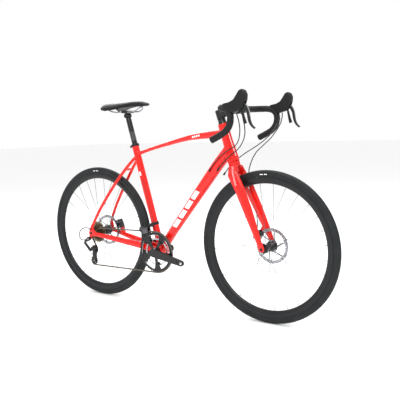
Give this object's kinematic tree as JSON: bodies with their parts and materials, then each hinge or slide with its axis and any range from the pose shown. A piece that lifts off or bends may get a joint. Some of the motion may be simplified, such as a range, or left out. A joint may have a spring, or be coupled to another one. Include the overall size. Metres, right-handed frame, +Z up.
{
  "type": "bicycle",
  "caption": "Road bicycle with drop handlebar, disc brakes, derailleur gears, steering, spinning wheels and cranks, brake and shift levers, sliding seatpost and tilting saddle.",
  "frame": {"origin": "centre of the bounding box at ground level, midway between the wheel axles", "axes": "+X forward, +Y to the rider's left, +Z up; the drive side is -Y"},
  "size_m": [1.688, 0.427, 1.018],
  "materials": {
    "frame_paint": "gloss red paint",
    "black_alloy": "black anodised, satin",
    "silver_alloy": "polished silver",
    "steel": "bright steel",
    "tyre": "black slick tread, matt",
    "tape": "black bar tape, matt",
    "hood": "black rubber, matt",
    "housing": "black cable housing",
    "plastic": "black moulded plastic",
    "saddle_skin": "black synthetic leather, soft sheen"
  },
  "bodies": {
    "frame": {"head_tube": "frame_paint", "top_tube": "frame_paint", "down_tube": "frame_paint", "seat_tube": "frame_paint", "stays_left": "frame_paint", "stays_right": "frame_paint", "seat_collar": "black_alloy", "bottom_bracket": "black_alloy", "headset_upper": "black_alloy", "headset_bearing_lower": "steel", "rear_caliper": "black_alloy", "rear_axle": "steel", "front_derailleur_body": "black_alloy", "rear_derailleur_knuckle": "black_alloy", "chain": "steel", "derailleur_cable": "housing"},
    "steering": {"fork": "frame_paint", "stem": "black_alloy", "stem_faceplate": "black_alloy", "handlebar": "black_alloy", "bar_tape_left": "tape", "bar_tape_right": "tape", "hood_left": "hood", "hood_right": "hood", "front_caliper": "black_alloy", "front_axle": "steel", "brake_cable_front": "housing", "brake_cable_rear": "housing", "shift_cable_front": "housing", "shift_cable_rear": "housing"},
    "lever_left": {"brake_lever_left": "black_alloy"},
    "lever_right": {"brake_lever_right": "black_alloy"},
    "paddle_left": {"shift_paddle_left": "plastic"},
    "paddle_right": {"shift_paddle_right": "plastic"},
    "front_wheel": {"front_tyre": "tyre", "front_rim": "black_alloy", "front_hub": "silver_alloy", "front_rotor": "steel"},
    "rear_wheel": {"rear_tyre": "tyre", "rear_rim": "black_alloy", "rear_hub": "silver_alloy", "rear_rotor": "steel"},
    "cassette_body": {"cassette": "steel"},
    "crankset": {"crank_right": "black_alloy", "crank_left": "black_alloy", "chainring_large": "black_alloy", "chainring_small": "silver_alloy"},
    "front_mech": {"front_derailleur_cage": "steel"},
    "rear_mech": {"rear_derailleur_link": "black_alloy"},
    "cage_knuckle": {"rear_derailleur_cage_knuckle": "black_alloy"},
    "cage": {"rear_derailleur_cage": "black_alloy"},
    "guide_wheel": {"guide_pulley": "plastic"},
    "tension_wheel": {"tension_pulley": "plastic"},
    "front_brake_arm": {"front_caliper_arm": "black_alloy"},
    "rear_brake_arm": {"rear_caliper_arm": "black_alloy"},
    "seatpost_body": {"seatpost": "black_alloy"},
    "saddle": {"saddle_clamp": "black_alloy", "saddle_rails": "steel", "saddle_shell": "plastic", "saddle_cover": "saddle_skin"}
  },
  "joints": [
    {"name": "steering", "type": "hinge", "parent": "frame", "child": "steering", "pos_m": [0.27268, 0, 0.924], "axis": [-0.3007, 0, 0.9537], "range_deg": [-45, 45], "deforming": ["brake_cable_front", "brake_cable_rear", "shift_cable_front", "shift_cable_rear"]},
    {"name": "front_wheel_spin", "type": "hinge", "parent": "steering", "child": "front_wheel", "pos_m": [0.504, 0, 0.34], "axis": [0, 1, 0], "continuous": true},
    {"name": "rear_wheel_spin", "type": "hinge", "parent": "frame", "child": "rear_wheel", "pos_m": [-0.504, 0, 0.34], "axis": [0, 1, 0], "continuous": true},
    {"name": "crank_spin", "type": "hinge", "parent": "frame", "child": "crankset", "pos_m": [-0.094, 0, 0.272], "axis": [0, 1, 0], "continuous": true, "deforming": ["chain"]},
    {"name": "cassette_spin", "type": "hinge", "parent": "frame", "child": "cassette_body", "pos_m": [-0.504, 0, 0.34], "axis": [0, 1, 0], "continuous": true},
    {"name": "brake_lever_left_pivot", "type": "hinge", "parent": "steering", "child": "lever_left", "pos_m": [0.512, 0.198, 0.962], "axis": [0, 1, 0], "range_deg": [0, 20], "stiffness_Nm_per_rad": 0.6, "springref_deg": -8.59},
    {"name": "brake_lever_right_pivot", "type": "hinge", "parent": "steering", "child": "lever_right", "pos_m": [0.512, -0.198, 0.962], "axis": [0, 1, 0], "range_deg": [0, 20], "stiffness_Nm_per_rad": 0.6, "springref_deg": -8.59},
    {"name": "shift_paddle_left_pivot", "type": "hinge", "parent": "lever_left", "child": "paddle_left", "pos_m": [0.508, 0.198, 0.938], "axis": [-1, 0, 0], "range_deg": [0, 10], "stiffness_Nm_per_rad": 0.1, "springref_deg": -5.73},
    {"name": "shift_paddle_right_pivot", "type": "hinge", "parent": "lever_right", "child": "paddle_right", "pos_m": [0.508, -0.198, 0.938], "axis": [1, 0, 0], "range_deg": [0, 10], "stiffness_Nm_per_rad": 0.1, "springref_deg": -5.73},
    {"name": "front_brake_arm_pivot", "type": "hinge", "parent": "steering", "child": "front_brake_arm", "pos_m": [0.436, 0.0588, 0.3824], "axis": [0, -1, 0], "range_deg": [0, 18]},
    {"name": "rear_brake_arm_pivot", "type": "hinge", "parent": "frame", "child": "rear_brake_arm", "pos_m": [-0.417, 0.0723, 0.379], "axis": [0, -1, 0], "range_deg": [0, 18]},
    {"name": "front_mech_shift", "type": "slide", "parent": "frame", "child": "front_mech", "axis": [0, 1, 0], "range_m": [0, 0.0075]},
    {"name": "rear_mech_shift", "type": "hinge", "parent": "frame", "child": "rear_mech", "pos_m": [-0.541, -0.089, 0.29], "axis": [0.7098, 0, 0.7044], "range_deg": [-5, 25]},
    {"name": "cage_knuckle_pivot", "type": "hinge", "parent": "rear_mech", "child": "cage_knuckle", "pos_m": [-0.5016, -0.089, 0.2503], "axis": [0.7098, 0, 0.7044], "range_deg": [-25, 5]},
    {"name": "cage_swing", "type": "hinge", "parent": "cage_knuckle", "child": "cage", "pos_m": [-0.48989, -0.05742, 0.26192], "axis": [0, 1, 0], "range_deg": [-25, 30], "stiffness_Nm_per_rad": 0.5},
    {"name": "guide_pulley_spin", "type": "hinge", "parent": "cage", "child": "guide_wheel", "pos_m": [-0.503, -0.05742, 0.2535], "axis": [0, 1, 0], "continuous": true},
    {"name": "tension_pulley_spin", "type": "hinge", "parent": "cage", "child": "tension_wheel", "pos_m": [-0.505, -0.05742, 0.1925], "axis": [0, 1, 0], "continuous": true},
    {"name": "seatpost_height", "type": "slide", "parent": "frame", "child": "seatpost_body", "axis": [-0.2706, 0, 0.9627], "range_m": [-0.1, 0.05]},
    {"name": "saddle_tilt", "type": "hinge", "parent": "seatpost_body", "child": "saddle", "pos_m": [-0.28177, 0, 0.94], "axis": [0, 1, 0], "range_deg": [-10, 10]}
  ],
  "couplings": [
    {"joint": "cassette_spin", "follows": "crank_spin", "ratio": 3.8462},
    {"joint": "guide_pulley_spin", "follows": "crank_spin", "ratio": -4.5455},
    {"joint": "tension_pulley_spin", "follows": "crank_spin", "ratio": 4.5455},
    {"joint": "cage_knuckle_pivot", "follows": "rear_mech_shift", "ratio": -1},
    {"joint": "front_brake_arm_pivot", "follows": "brake_lever_left_pivot", "ratio": 0.8},
    {"joint": "rear_brake_arm_pivot", "follows": "brake_lever_right_pivot", "ratio": 0.8}
  ]
}
